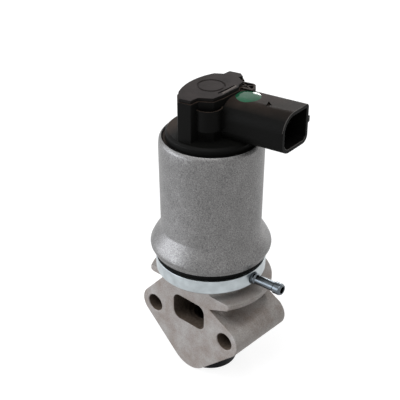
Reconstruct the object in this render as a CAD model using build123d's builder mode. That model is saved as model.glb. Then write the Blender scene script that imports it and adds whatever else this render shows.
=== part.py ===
"""Electric exhaust gas recirculation valve, in millimetres.

Origin: midway between the two bolt holes, on the machined face that meets the cylinder head.
X runs along the line of the bolt holes, -Y is the normal of that face, +Z runs up the valve's axis.
The valve, its coil and its position sensor share one upright axis, half way through the block.
"""
import os
from math import asin, atan2, cos, hypot, radians, sin, tan

from build123d import *

# Fits between pieces, each as a gap on the radius
press_gap = 0.02
running_gap = 0.05
loose_gap = 0.2

# Casting: the diamond-shaped block that is bolted between the head and the exhaust pipe
bolt_spacing = 46.0
bolt_hole_d = 9.0
bolt_hole_chamfer = 0.5
ear_radius = 8.2
block_depth = 36.2
axis_depth = 16.0
belly_radius = 16.0
belly_drop = 11.7
flange_belly_radius = 12.8
shoulder_width = 32.0
gusset_reach = 25.0
shoulder_band = 1.0
flange_thickness = 4.5
saddle_inner_x = 13.4
saddle_inner_z = 14.1
pocket_inner_x = 13.1
pocket_floor_z = 9.4
pocket_floor_slope = 0.17
pocket_corner = 6.5
pocket_front_lip = 2.2

# Casting: the round plate and the neck that carry the solenoid
plate_radius = 29.8
plate_thickness = 3.2
plate_top = 22.2
neck_radius = 20.5
neck_height = 3.7
neck_root_fillet = 1.5
plate_lower_fillet = 1.3
plate_upper_fillet = 0.5

# Gas passages: the port in each machined face and the two chambers between them
port_width = 20.0
port_corner = 4.0
head_port_height = 14.0
head_port_z = 6.0
pipe_port_height = 12.0
pipe_port_z = -13.3
upper_chamber_r = 10.5
lower_chamber_r = 10.9
chamber_step = 0.5
chamber_lip_r = 8.0
chamber_roof = 5.0
plug_radius = 13.4
plug_depth = 8.8
plug_stand_proud = 0.8
plug_edge_radius = 1.0
plug_dish_r = 9.0
plug_dish_depth = 0.8

# Valve: seat, poppet, stem and its bush
seat_bore_r = 6.5
seat_outer_r = 9.4
seat_height = 4.5
seat_chamfer = 1.2
seat_shoulder = 1.0
seat_gap = 0.05
head_overlap = 0.5
head_rim = 2.4
stem_r = 3.0
stem_end_r = 2.0
valve_lift = 4.5
guide_outer_r = 5.5
guide_reach = 3.0
guide_collar = 4.0
shield_radius = 7.0
shield_wall = 0.8
shield_height = 4.5
shield_collar = 1.5

# Return spring, in a pocket round the bush
spring_pocket_r = 9.5
spring_mean_r = 7.6
spring_wire_d = 1.5
spring_length = 13.5
spring_turns = 5.0
retainer_thickness = 2.0
retainer_radius = 9.0
stem_top_above_retainer = 3.0

# Base plate under the solenoid, its gasket, screws and hose nipple
body_gasket_thickness = 0.7
base_radius = 26.4
base_thickness = 7.6
base_edge_chamfer = 1.0
base_screw_circle_r = 15.5
base_screw_angles = (80, 200, 320)
base_screw_r = 2.0
base_screw_head_r = 3.5
base_screw_head_height = 3.0
base_screw_sink = 0.4
base_screw_grip = 5.0
base_screw_end_gap = 0.3
nipple_angle = 4.6
nipple_offset = 1.45
nipple_outer_r = 2.35
nipple_bore_r = 1.7
nipple_duct_r = 1.1
nipple_end_r = 2.85
nipple_end_length = 4.4
nipple_end_ramp = 0.4
nipple_nose = 1.0
nipple_root_ramp = 0.6
nipple_root_r = 2.8
nipple_root_length = 2.2
nipple_recess = 0.8
nipple_tip = 42.6
nipple_seat_depth = 6.0

# Solenoid: aluminium cover, iron path and coil
isolator_step = 1.6
isolator_thickness = 3.9
isolator_seat = 0.6
isolator_lip_height = 2.0
cover_height = 58.8
cover_foot_r = 29.1
cover_shoulder_r = 28.7
cover_shoulder_height = 4.8
cover_waist_r = 23.75
cover_waist_height = 12.3
cover_rim_r = 24.35
cover_wall = 1.7
cover_shoulder_blend = 0.75
cover_waist_fillet = 2.0
cover_rim_outer_fillet = 1.2
cover_rim_inner_fillet = 0.3
yoke_wall = 2.0
yoke_floor = 2.5
washer_thickness = 3.0
bobbin_flange = 2.2
bobbin_wall = 1.2
winding_outer_r = 19.4
sleeve_wall = 0.4
armature_r = 8.4
pole_height = 22.0
pole_flange_r = 14.0
pole_cone_depth = 3.0
armature_top_gap = 0.4
armature_cone_gap = 0.3
stroke_reserve = 0.3
rod_r = 2.5
rod_tip_r = 1.5

# Moulded sensor housing in the mouth of the cover
housing_sink = 8.3
flange_below_rim = 0.8
flange_chamfer = 0.4
disc_radius = 21.0
disc_above_rim = 3.2
disc_chamfer = 1.1
housing_height = 18.35
housing_overhang = 0.6
o_ring_section = 1.7
o_ring_above_flange = 3.0
armature_headroom = 1.5
armature_room = 0.5
bush_outer_r = 3.0
bush_lower_gap = 0.7
cavity_floor_thickness = 8.0
cavity_half_width = 6.8
cavity_left = -8.2
cavity_right = 6.0
cavity_back = 9.4
rail_thickness = 1.8
rail_length = 5.0
rail_above_carrier = 1.0
boss_x = 4.6
boss_y = -7.6
boss_radius = 6.7
boss_drop = 3.35
boss_height = 10.0
boss_pillar_r = 3.5
boss_rim = 0.8
boss_recess = 1.2

# Plug socket, turned a little from the line of the bolt holes
socket_angle = 12.0
socket_reach = 41.4
socket_mouth_turn = 8.0
socket_shift = 2.45
socket_width = 19.5
socket_height = 18.6
socket_near_top_corner = 8.5
socket_near_bottom_corner = 5.5
socket_far_bottom_corner = 3.6
socket_far_top_corner = 2.0
socket_wall = 1.8
socket_depth = 18.0
socket_start = 6.0
socket_top_drop = 0.85
catch_height = 1.4
catch_width = 2.5
catch_length = 4.0
catch_back = 1.5
catch_rise = 1.0
web_outline = ((6, 9), (6, 15.6), (12.6, 15.9), (13.8, 15), (15.4, 12), (15.4, 9))
pin_count = 5
pin_pitch = 2.9
pin_width = 1.5
pin_thickness = 0.6
pin_length = 11.0
pin_root = 8.0

# Lid: its bow on the left, and the rest of its outline from the bow's far end round to its near end
lid_bow = ((-7.5, -13.5), (-11.5, 0), (-9.5, 12))
lid_outline = ((-9.5, 12), (-6, 14.5), (-6, 18.5), (-0.5, 20), (2.5, 18), (1.5, 16), (6, 14),
               (7, 10), (8.5, 8), (9, -3), (8.5, -8.5), (3, -12.5), (3, -17), (-2.5, -18.5),
               (-7.5, -13.5))
lid_thickness = 1.6
lid_plinth = 2.0
lid_ring_r = 6.4
lid_ring_width = 0.8
lid_ring_depth = 0.4
lid_ring_x = -1.5
lid_ring_y = 1.0
lid_groove = 0.5
lid_groove_depth = 0.8
lid_latch_x = 6.3
lid_latch_y = 2.5
lid_latch_length = 11.0

# Position sensor
carrier_length = 9.0
carrier_width = 8.0
carrier_height = 6.0
carrier_above_floor = 5.4
board_thickness = 0.8
board_width = 11.0
board_height = 15.0
board_above_floor = 0.9
finger_base_height = 4.8
finger_base_width = 5.2
finger_thickness = 0.3
finger_width = 1.2
finger_pitch = 4.0
finger_foot = 0.6
finger_root = 1.0
finger_rise = 3.4
finger_flat = 0.5
sensor_spring_r = 2.6
sensor_spring_wire_d = 0.6
sensor_spring_turns = 5.0

# Levels, worked out upwards from the bolt holes
axis_y = axis_depth
block_bottom = -belly_drop - belly_radius
neck_top = plate_top + neck_height
base_bottom = neck_top + body_gasket_thickness
base_top = base_bottom + base_thickness
cover_bottom = base_top + isolator_thickness
cover_top = cover_bottom + cover_height
plate_bottom = plate_top - plate_thickness

chamber_top = head_port_z + head_port_height / 2 + chamber_step
chamber_floor = head_port_z - head_port_height / 2 - chamber_step
seat_top = chamber_floor - seat_shoulder
seat_bottom = seat_top - seat_height
pocket_bottom = chamber_top + chamber_roof
guide_bottom = chamber_top - guide_reach
guide_top = pocket_bottom + guide_collar
retainer_bottom = pocket_bottom + spring_length
retainer_top = retainer_bottom + retainer_thickness
stem_top = retainer_top + stem_top_above_retainer
plug_bottom = block_bottom - plug_stand_proud
plug_top = plug_bottom + plug_depth

yoke_top_of_floor = cover_bottom + yoke_floor
bobbin_bottom = yoke_top_of_floor
washer_top = cover_top - housing_sink
bobbin_top = washer_top - washer_thickness
cover_inner_r = min(cover_waist_r, cover_rim_r) - cover_wall
yoke_outer_r = cover_inner_r - loose_gap
sleeve_inner_r = armature_r + running_gap
sleeve_outer_r = sleeve_inner_r + sleeve_wall
bobbin_inner_r = sleeve_outer_r + running_gap
bobbin_core_r = bobbin_inner_r + bobbin_wall
bobbin_outer_r = yoke_outer_r - yoke_wall - running_gap
pole_top = cover_bottom + pole_height
armature_bottom = pole_top + valve_lift + stroke_reserve
armature_top = washer_top - armature_top_gap

housing_bottom = washer_top
flange_radius = cover_rim_r - cover_wall - loose_gap
flange_top = cover_top - flange_below_rim
disc_top = cover_top + disc_above_rim
housing_top = disc_top + housing_height
lid_top = housing_top + lid_thickness
cavity_floor = housing_bottom + armature_headroom + cavity_floor_thickness
bush_bottom = housing_bottom + armature_headroom + bush_lower_gap
lid_plinth_bottom = housing_top - lid_plinth
carrier_bottom = cavity_floor + carrier_above_floor
carrier_top = carrier_bottom + carrier_height
boss_top = housing_top - boss_drop
socket_top = housing_top - socket_top_drop
socket_z = socket_top - socket_height / 2
pin_inner_end = socket_reach - socket_depth - pin_root
board_left = cavity_left + press_gap
strip_right = -carrier_length / 2 - press_gap
finger_tip = board_left + board_thickness + running_gap

# Working planes and the upright axis
valve_axis = Axis((0, axis_y, 0), (0, 0, 1))
section = Plane(origin=(0, axis_y, 0), x_dir=(1, 0, 0), z_dir=(0, -1, 0))
head_face = Plane(origin=(0, 0, 0), x_dir=(1, 0, 0), z_dir=(0, -1, 0))
socket_dir = Vector(cos(radians(socket_angle)), sin(radians(socket_angle)), 0)
mouth_dir = Vector(cos(radians(socket_angle - socket_mouth_turn)),
                   sin(radians(socket_angle - socket_mouth_turn)), 0)
across_dir = Vector(-sin(radians(socket_angle)), cos(radians(socket_angle)), 0)
nipple_dir = Vector(cos(radians(nipple_angle)), sin(radians(nipple_angle)), 0)
nipple_side = Vector(-sin(radians(nipple_angle)), cos(radians(nipple_angle)), 0)


def level(z):
    """A horizontal plane at height z, centred on the valve's axis."""
    return Plane(origin=(0, axis_y, z))


def socket_plane(distance):
    """An upright plane across the plug socket, at a distance from the valve's axis."""
    centre = Vector(0, axis_y, socket_z) + socket_dir * distance + across_dir * socket_shift
    return Plane(origin=centre, x_dir=across_dir, z_dir=socket_dir)


def turned(*points):
    """A solid of revolution about the valve's axis, from (radius, height) corners."""
    with BuildPart() as piece:
        with BuildSketch(section):
            with BuildLine():
                Polyline(*points, close=True)
            make_face()
        revolve(axis=valve_axis)
    return piece


def washer(inner_r, outer_r, bottom, top):
    """A flat ring about the valve's axis."""
    return turned((inner_r, bottom), (outer_r, bottom), (outer_r, top), (inner_r, top))


def coil_spring(mean_r, wire_d, bottom, top, turns):
    """A compression spring that stands between two levels, its wire inside both."""
    rise = top - bottom - wire_d
    with BuildPart() as piece:
        with BuildLine() as path:
            Helix(pitch=rise / turns, height=rise, radius=mean_r,
                  center=(0, axis_y, bottom + wire_d / 2))
        with BuildSketch(Plane(origin=path.line @ 0, z_dir=path.line % 0)):
            Circle(wire_d / 2)
        sweep(is_frenet=True)
    return piece


def top_outline(overhang):
    """Outline of the lid, seen from above: a bow on the left, flat towards the plug socket."""
    with BuildSketch() as outline:
        with BuildLine():
            ThreePointArc(*lid_bow)
            Polyline(*lid_outline)
        make_face()
        if overhang:
            offset(amount=overhang, kind=Kind.INTERSECTION)
    return outline.sketch


def block_outline(radius):
    """The diamond, seen from the head: an ear round each bolt hole, a belly and a shoulder."""
    with BuildSketch() as outline:
        with Locations((-bolt_spacing / 2, 0), (bolt_spacing / 2, 0)):
            Circle(ear_radius)
        with Locations((0, block_bottom + radius)):
            Circle(radius)
        with Locations((0, plate_bottom)):
            Rectangle(shoulder_width, 2 * shoulder_band)
        make_hull()
    return outline.sketch


def socket_outline(inset):
    """End view of the plug socket: large radius on the near top edge, small ones elsewhere."""
    with BuildSketch() as outline:
        Rectangle(socket_width - 2 * inset, socket_height - 2 * inset)
        near_top = outline.vertices().group_by(Axis.X)[0].sort_by(Axis.Y)[-1]
        fillet(near_top, radius=socket_near_top_corner - inset)
        near_bottom = outline.vertices().group_by(Axis.X)[0].sort_by(Axis.Y)[0]
        fillet(near_bottom, radius=socket_near_bottom_corner - inset)
        far_top = outline.vertices().group_by(Axis.X)[-1].sort_by(Axis.Y)[-1]
        fillet(far_top, radius=socket_far_top_corner - inset)
        far_bottom = outline.vertices().group_by(Axis.X)[-1].sort_by(Axis.Y)[0]
        fillet(far_bottom, radius=socket_far_bottom_corner - inset)
    return outline.sketch


def screw_circles(z, radius, depth):
    """The three upright cylinders of the base screws, from level z over a signed depth."""
    with BuildPart() as pins:
        with BuildSketch(level(z)):
            for angle in base_screw_angles:
                with PolarLocations(base_screw_circle_r, 1, start_angle=angle):
                    Circle(radius)
        extrude(amount=depth)
    return pins.part


os.makedirs("parts", exist_ok=True)


def saddle_pocket(side, front, back):
    """The scoop above a bolt ear, between the two machined faces: side is 1 right or -1 left."""
    outer = bolt_spacing / 2 + 2 * ear_radius
    drop = pocket_floor_slope * (outer - pocket_inner_x)
    with BuildPart() as pocket:
        with BuildSketch(head_face.offset(-front)):
            with BuildLine():
                Polyline((side * pocket_inner_x, pocket_floor_z),
                         (side * outer, pocket_floor_z - drop),
                         (side * outer, plate_bottom + 1),
                         (side * pocket_inner_x, plate_bottom + 1), close=True)
            make_face()
        extrude(amount=front - back)
        scooped = pocket.edges().filter_by(
            lambda e: e.center().Z < plate_bottom + 0.9 and abs(e.center().X) < outer - 0.1)
        fillet(scooped, radius=pocket_corner)
    return pocket.part


def plate_and_neck():
    """The round plate under the solenoid and the neck on it, both flush with the machined face."""
    with BuildPart() as piece:
        with BuildSketch(section):
            with BuildLine():
                Polyline((0, plate_bottom), (plate_radius, plate_bottom),
                         (plate_radius, plate_top), (neck_radius, plate_top),
                         (neck_radius, neck_top), (0, neck_top), close=True)
            make_face()
        revolve(axis=valve_axis)
        rims = piece.edges().filter_by(GeomType.CIRCLE)
        lower_rim = rims.group_by(Axis.Z)[0]
        upper_rim = rims.group_by(Axis.Z)[1].sort_by(SortBy.RADIUS)[-1]
        root_rim = rims.group_by(Axis.Z)[1].sort_by(SortBy.RADIUS)[0]
        fillet(lower_rim, radius=plate_lower_fillet)
        fillet(upper_rim, radius=plate_upper_fillet)
        fillet(root_rim, radius=neck_root_fillet)
        with Locations((0, -plate_radius, plate_top)):
            Box(3 * plate_radius, 2 * plate_radius, 2 * plate_radius, mode=Mode.SUBTRACT)
    return piece.part


# Cast block, round plate and neck in one piece
saddle_rise = atan2(saddle_inner_z, bolt_spacing / 2 - saddle_inner_x)
saddle_turn = asin(ear_radius / hypot(saddle_inner_z, bolt_spacing / 2 - saddle_inner_x))
saddle_fall = sin(saddle_rise - saddle_turn) / cos(saddle_rise - saddle_turn)
saddle_outer_x = bolt_spacing / 2 + 2 * ear_radius
saddle_outer_z = saddle_inner_z - saddle_fall * (saddle_outer_x - saddle_inner_x)
with BuildPart() as valve_body:
    # The head's flange has a narrower belly than the block behind it
    with BuildSketch(head_face):
        add(block_outline(flange_belly_radius))
    extrude(amount=-flange_thickness)
    with BuildSketch(head_face.offset(-flange_thickness)):
        add(block_outline(belly_radius))
    extrude(amount=flange_thickness - block_depth)
    # The right shoulder falls straight from the chamber to the ear
    with BuildSketch(head_face):
        with BuildLine():
            Polyline((saddle_inner_x, plate_bottom + 2 * shoulder_band),
                     (saddle_inner_x, saddle_inner_z), (saddle_outer_x, saddle_outer_z),
                     (saddle_outer_x, plate_bottom + 2 * shoulder_band), close=True)
        make_face()
    extrude(amount=-block_depth, mode=Mode.SUBTRACT)
    add(saddle_pocket(1, pocket_front_lip, block_depth - pocket_front_lip), mode=Mode.SUBTRACT)
    add(saddle_pocket(-1, flange_thickness, block_depth - flange_thickness), mode=Mode.SUBTRACT)
    # Gusset that carries the plate's right corner, in line with the front wall of the scoop
    with BuildSketch(head_face):
        with BuildLine():
            Polyline((saddle_inner_x - shoulder_band, saddle_inner_z), (saddle_inner_x, saddle_inner_z),
                     (gusset_reach, plate_bottom), (gusset_reach, plate_bottom + shoulder_band),
                     (saddle_inner_x - shoulder_band, plate_bottom + shoulder_band), close=True)
        make_face()
    extrude(amount=-pocket_front_lip)
    add(plate_and_neck())
    # Spring pocket, bush bore, upper chamber, seat bore, lower chamber and plug bore
    with BuildSketch(section):
        with BuildLine():
            Polyline((0, neck_top), (spring_pocket_r, neck_top), (spring_pocket_r, pocket_bottom),
                     (guide_outer_r + press_gap, pocket_bottom),
                     (guide_outer_r + press_gap, chamber_top), (upper_chamber_r, chamber_top),
                     (upper_chamber_r, chamber_floor),
                     (chamber_lip_r, chamber_floor), (chamber_lip_r, seat_top),
                     (seat_outer_r + press_gap, seat_top), (seat_outer_r + press_gap, seat_bottom),
                     (lower_chamber_r, seat_bottom), (lower_chamber_r, plug_top),
                     (plug_radius + press_gap, plug_top), (plug_radius + press_gap, block_bottom - 1),
                     (0, block_bottom - 1), close=True)
        make_face()
    revolve(axis=valve_axis, mode=Mode.SUBTRACT)
    # Port in the head's face, and the port in the exhaust pipe's face
    with BuildSketch(head_face):
        with Locations((0, head_port_z)):
            RectangleRounded(port_width, head_port_height, port_corner)
    extrude(amount=-axis_y, mode=Mode.SUBTRACT)
    with BuildSketch(head_face.offset(-block_depth)):
        with Locations((0, pipe_port_z)):
            RectangleRounded(port_width, pipe_port_height, port_corner)
    extrude(amount=block_depth - axis_y, mode=Mode.SUBTRACT)
    # Two bolt holes right through, chamfered at both faces
    with BuildSketch(head_face):
        with Locations((-bolt_spacing / 2, 0), (bolt_spacing / 2, 0)):
            Circle(bolt_hole_d / 2)
    extrude(amount=-block_depth, mode=Mode.SUBTRACT)
    bolt_rims = valve_body.edges().filter_by(GeomType.CIRCLE).filter_by(
        lambda e: abs(e.radius - bolt_hole_d / 2) < 0.01 and abs(e.normal().Y) > 0.99)
    chamfer(bolt_rims, length=bolt_hole_chamfer)
    # Blind threaded holes for the base screws
    add(screw_circles(neck_top, base_screw_r + press_gap, -base_screw_grip), mode=Mode.SUBTRACT)
valve_body.part.label = "valve_body"
export_step(valve_body.part, "parts/valve_body.step")

# Black plug that closes the lower chamber, its face a shallow dish with a rounded edge
with BuildPart() as bottom_plug:
    with BuildSketch(section):
        with BuildLine():
            Polyline((0, plug_bottom + plug_dish_depth), (plug_dish_r, plug_bottom),
                     (plug_radius, plug_bottom), (plug_radius, plug_top), (0, plug_top), close=True)
        make_face()
    revolve(axis=valve_axis)
    lower_edge = bottom_plug.edges().filter_by(GeomType.CIRCLE).group_by(Axis.Z)[0]
    fillet(lower_edge.sort_by(SortBy.RADIUS)[-1], radius=plug_edge_radius)
bottom_plug.part.label = "bottom_plug"
export_step(bottom_plug.part, "parts/bottom_plug.step")

# Hard steel ring that the poppet closes on, its lower edge bevelled
seat_insert = turned((seat_bore_r, seat_top), (seat_outer_r, seat_top),
                     (seat_outer_r, seat_bottom), (seat_bore_r + seat_chamfer, seat_bottom),
                     (seat_bore_r, seat_bottom + seat_chamfer))
seat_insert.part.label = "seat_insert"
export_step(seat_insert.part, "parts/seat_insert.step")

# Poppet: its cone lies against the seat's bevel from below
cone_top_r = seat_bore_r - head_overlap
cone_top_z = seat_bottom + seat_chamfer + head_overlap - seat_gap
cone_width = seat_chamfer + 2 * head_overlap
head_radius = cone_top_r + cone_width
head_bottom = cone_top_z - cone_width - head_rim
valve_head = turned((stem_end_r + press_gap, cone_top_z), (cone_top_r, cone_top_z),
                    (head_radius, cone_top_z - cone_width), (head_radius, head_bottom),
                    (stem_end_r + press_gap, head_bottom))
valve_head.part.label = "valve_head"
export_step(valve_head.part, "parts/valve_head.step")

# Stem: shouldered on the poppet and riveted under it, with a groove below the retainer
with BuildPart() as valve_stem:
    with BuildSketch(section):
        with BuildLine():
            Polyline((0, head_bottom - 1), (stem_end_r + 0.8, head_bottom - 0.6),
                     (stem_end_r + 0.8, head_bottom), (stem_end_r, head_bottom),
                     (stem_end_r, cone_top_z), (stem_r, cone_top_z), (stem_r, retainer_top),
                     (stem_r - 0.5, retainer_top), (stem_r - 0.5, stem_top),
                     (0, stem_top), close=True)
        make_face()
    revolve(axis=valve_axis)
valve_stem.part.label = "valve_stem"
export_step(valve_stem.part, "parts/valve_stem.step")

# Bush that carries the stem
stem_guide = washer(stem_r + running_gap, guide_outer_r, guide_bottom, guide_top)
stem_guide.part.label = "stem_guide"
export_step(stem_guide.part, "parts/stem_guide.step")

# Cup round the lower end of the bush, which keeps soot off the stem
guide_shield = turned((guide_outer_r + press_gap, chamber_top), (shield_radius, chamber_top),
                      (shield_radius, chamber_top - shield_height),
                      (stem_r + 0.6, chamber_top - shield_height),
                      (stem_r + 0.6, chamber_top - shield_height + shield_wall),
                      (shield_radius - shield_wall, chamber_top - shield_height + shield_wall),
                      (shield_radius - shield_wall, chamber_top - shield_collar),
                      (guide_outer_r + press_gap, chamber_top - shield_collar))
guide_shield.part.label = "guide_shield"
export_step(guide_shield.part, "parts/guide_shield.step")

# Return spring, standing on the floor of its pocket
return_spring = coil_spring(spring_mean_r, spring_wire_d, pocket_bottom, retainer_bottom,
                            spring_turns)
return_spring.part.label = "return_spring"
export_step(return_spring.part, "parts/return_spring.step")

# Retainer: a dished washer held on the stem, which the spring pushes up
spring_retainer = turned((stem_r + press_gap, retainer_bottom), (retainer_radius, retainer_bottom),
                         (retainer_radius, retainer_bottom + retainer_thickness * 0.6),
                         (retainer_radius - 3, retainer_top), (stem_r + press_gap, retainer_top))
spring_retainer.part.label = "spring_retainer"
export_step(spring_retainer.part, "parts/spring_retainer.step")

# Gasket on the neck, with holes for the base screws
with BuildPart() as body_gasket:
    with BuildSketch(level(neck_top)):
        Circle(neck_radius)
        Circle(spring_pocket_r + loose_gap, mode=Mode.SUBTRACT)
        for angle in base_screw_angles:
            with PolarLocations(base_screw_circle_r, 1, start_angle=angle):
                Circle(base_screw_r + loose_gap, mode=Mode.SUBTRACT)
    extrude(amount=body_gasket_thickness)
body_gasket.part.label = "body_gasket"
export_step(body_gasket.part, "parts/body_gasket.step")

# Base plate: thick zinc-plated ring with counterbored screw holes and the nipple's hole
nipple_z = base_bottom + base_thickness / 2
nipple_centre = Vector(0, axis_y, nipple_z) - nipple_side * nipple_offset
base_bore_r = spring_pocket_r + loose_gap
nipple_face = (base_radius ** 2 - nipple_offset ** 2) ** 0.5
nipple_inner_end = nipple_face - nipple_seat_depth
nipple_shelf = nipple_face - nipple_recess
with BuildPart() as base_plate:
    with BuildSketch(section):
        with BuildLine():
            Polyline((base_bore_r, base_bottom), (base_radius - base_edge_chamfer, base_bottom),
                     (base_radius, base_bottom + base_edge_chamfer),
                     (base_radius, base_top), (base_bore_r, base_top), close=True)
        make_face()
    revolve(axis=valve_axis)
    add(screw_circles(base_bottom, base_screw_r + loose_gap, base_thickness), mode=Mode.SUBTRACT)
    add(screw_circles(base_top, base_screw_head_r + loose_gap,
                      -base_screw_head_height - base_screw_sink), mode=Mode.SUBTRACT)
    with BuildSketch(Plane(origin=nipple_centre + nipple_dir * nipple_inner_end,
                           x_dir=nipple_side, z_dir=nipple_dir)):
        Circle(nipple_outer_r + press_gap)
    extrude(amount=2 * nipple_seat_depth, mode=Mode.SUBTRACT)
    with BuildSketch(Plane(origin=nipple_centre + nipple_dir * nipple_shelf,
                           x_dir=nipple_side, z_dir=nipple_dir)):
        Circle(nipple_root_r + loose_gap)
    extrude(amount=nipple_seat_depth, mode=Mode.SUBTRACT)
    with BuildSketch(Plane(origin=nipple_centre, x_dir=nipple_side, z_dir=nipple_dir)):
        Circle(nipple_duct_r)
    extrude(amount=nipple_face, mode=Mode.SUBTRACT)
base_plate.part.label = "base_plate"
export_step(base_plate.part, "parts/base_plate.step")

# Hose nipple: a pressed-in tube with a collar at its root and a swollen end for the hose
with BuildPart() as vent_nipple:
    nipple_section = Plane(origin=nipple_centre, x_dir=nipple_dir, z_dir=-nipple_side)
    root = nipple_shelf + running_gap
    with BuildSketch(nipple_section):
        with BuildLine():
            Polyline((nipple_inner_end, nipple_bore_r), (nipple_inner_end, nipple_outer_r),
                     (root, nipple_outer_r), (root, nipple_root_r),
                     (root + nipple_root_length, nipple_root_r),
                     (root + nipple_root_length + nipple_root_ramp, nipple_outer_r),
                     (nipple_tip - nipple_end_length, nipple_outer_r),
                     (nipple_tip - nipple_end_length + nipple_end_ramp, nipple_end_r),
                     (nipple_tip - nipple_nose, nipple_end_r), (nipple_tip, nipple_outer_r),
                     (nipple_tip, nipple_bore_r), close=True)
        make_face()
    revolve(axis=Axis(nipple_centre, nipple_dir))
vent_nipple.part.label = "vent_nipple"
export_step(vent_nipple.part, "parts/vent_nipple.step")

# Three cheese-head screws through the base plate into the neck
with BuildPart() as base_screws:
    head_seat = base_top - base_screw_head_height - base_screw_sink
    screw_tip = neck_top - base_screw_grip + base_screw_end_gap
    add(screw_circles(screw_tip, base_screw_r, head_seat - screw_tip))
    add(screw_circles(head_seat, base_screw_head_r, base_screw_head_height))
    with BuildSketch(level(head_seat + base_screw_head_height)):
        for angle in base_screw_angles:
            with PolarLocations(base_screw_circle_r, 1, start_angle=angle):
                RegularPolygon(radius=base_screw_r * 0.85, side_count=6)
    extrude(amount=-base_screw_head_height * 0.6, mode=Mode.SUBTRACT)
base_screws.part.label = "base_screws"
export_step(base_screws.part, "parts/base_screws.step")

# Black isolating ring between the base plate and the solenoid, its lip inside the cover's foot
lip_radius = min(cover_foot_r, cover_shoulder_r) - cover_wall - loose_gap
isolator_radius = lip_radius - isolator_step
lip_bottom = cover_bottom + isolator_seat
isolator_gasket = turned((base_bore_r, base_top), (isolator_radius, base_top),
                         (isolator_radius, lip_bottom), (lip_radius, lip_bottom),
                         (lip_radius, lip_bottom + isolator_lip_height),
                         (yoke_outer_r + loose_gap, lip_bottom + isolator_lip_height),
                         (yoke_outer_r + loose_gap, cover_bottom),
                         (base_bore_r, cover_bottom))
isolator_gasket.part.label = "isolator_gasket"
export_step(isolator_gasket.part, "parts/isolator_gasket.step")

# Aluminium cover: a drawn can, open at the top, that flares out over the isolator
shoulder_z = cover_bottom + cover_shoulder_height
waist_z = cover_bottom + cover_waist_height
foot_lean = atan2(cover_foot_r - cover_shoulder_r, cover_shoulder_height)
flare_lean = atan2(cover_shoulder_r - cover_waist_r, waist_z - shoulder_z)
foot_length = hypot(cover_foot_r - cover_shoulder_r, cover_shoulder_height)
shoulder_fillet = cover_shoulder_blend * foot_length / tan(abs(flare_lean - foot_lean) / 2)
with BuildPart() as solenoid_cover:
    with BuildSketch(section):
        with BuildLine():
            outside = FilletPolyline((cover_foot_r, cover_bottom),
                                     (cover_shoulder_r, shoulder_z),
                                     (cover_waist_r, waist_z), (cover_rim_r, cover_top),
                                     radius=[shoulder_fillet, cover_waist_fillet])
            inside = FilletPolyline((cover_foot_r - cover_wall, cover_bottom),
                                    (cover_shoulder_r - cover_wall, shoulder_z),
                                    (cover_waist_r - cover_wall, waist_z),
                                    (cover_rim_r - cover_wall, cover_top),
                                    radius=[shoulder_fillet - cover_wall,
                                            cover_waist_fillet + cover_wall])
            Line(outside @ 0, inside @ 0)
            Line(outside @ 1, inside @ 1)
        make_face()
    revolve(axis=valve_axis)
    rim_edges = solenoid_cover.edges().filter_by(GeomType.CIRCLE).group_by(Axis.Z)[-1]
    fillet(rim_edges.sort_by(SortBy.RADIUS)[-1], radius=cover_rim_outer_fillet)
    fillet(rim_edges.sort_by(SortBy.RADIUS)[0], radius=cover_rim_inner_fillet)
solenoid_cover.part.label = "solenoid_cover"
export_step(solenoid_cover.part, "parts/solenoid_cover.step")

# Yoke: a soft iron cup round the coil, open in its floor for the pole piece
yoke_cup = turned((pole_flange_r + press_gap, cover_bottom), (yoke_outer_r, cover_bottom),
                  (yoke_outer_r, washer_top), (yoke_outer_r - yoke_wall, washer_top),
                  (yoke_outer_r - yoke_wall, yoke_top_of_floor),
                  (pole_flange_r + press_gap, yoke_top_of_floor))
yoke_cup.part.label = "yoke_cup"
export_step(yoke_cup.part, "parts/yoke_cup.step")

# Pole piece: fixed iron core with a flange in the yoke's floor and a hollow cone on top
pole_piece = turned((rod_r + running_gap, cover_bottom), (pole_flange_r, cover_bottom),
                    (pole_flange_r, yoke_top_of_floor), (armature_r, yoke_top_of_floor),
                    (armature_r, pole_top), (armature_r - 1.2, pole_top),
                    (rod_r + 2, pole_top - pole_cone_depth),
                    (rod_r + running_gap, pole_top - pole_cone_depth))
pole_piece.part.label = "pole_piece"
export_step(pole_piece.part, "parts/pole_piece.step")

# Thin brass liner in which the armature slides
armature_sleeve = washer(sleeve_inner_r, sleeve_outer_r, yoke_top_of_floor, washer_top)
armature_sleeve.part.label = "armature_sleeve"
export_step(armature_sleeve.part, "parts/armature_sleeve.step")

# Coil former
coil_bobbin = turned((bobbin_inner_r, bobbin_bottom), (bobbin_outer_r, bobbin_bottom),
                     (bobbin_outer_r, bobbin_bottom + bobbin_flange),
                     (bobbin_core_r, bobbin_bottom + bobbin_flange),
                     (bobbin_core_r, bobbin_top - bobbin_flange),
                     (bobbin_outer_r, bobbin_top - bobbin_flange),
                     (bobbin_outer_r, bobbin_top), (bobbin_inner_r, bobbin_top))
coil_bobbin.part.label = "coil_bobbin"
export_step(coil_bobbin.part, "parts/coil_bobbin.step")

# Copper winding
coil_winding = washer(bobbin_core_r + running_gap, winding_outer_r,
                      bobbin_bottom + bobbin_flange + running_gap,
                      bobbin_top - bobbin_flange - running_gap)
coil_winding.part.label = "coil_winding"
export_step(coil_winding.part, "parts/coil_winding.step")

# Iron washer that closes the magnetic path over the coil
flux_washer = washer(bobbin_inner_r, yoke_outer_r - yoke_wall - running_gap, bobbin_top, washer_top)
flux_washer.part.label = "flux_washer"
export_step(flux_washer.part, "parts/flux_washer.step")

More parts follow.
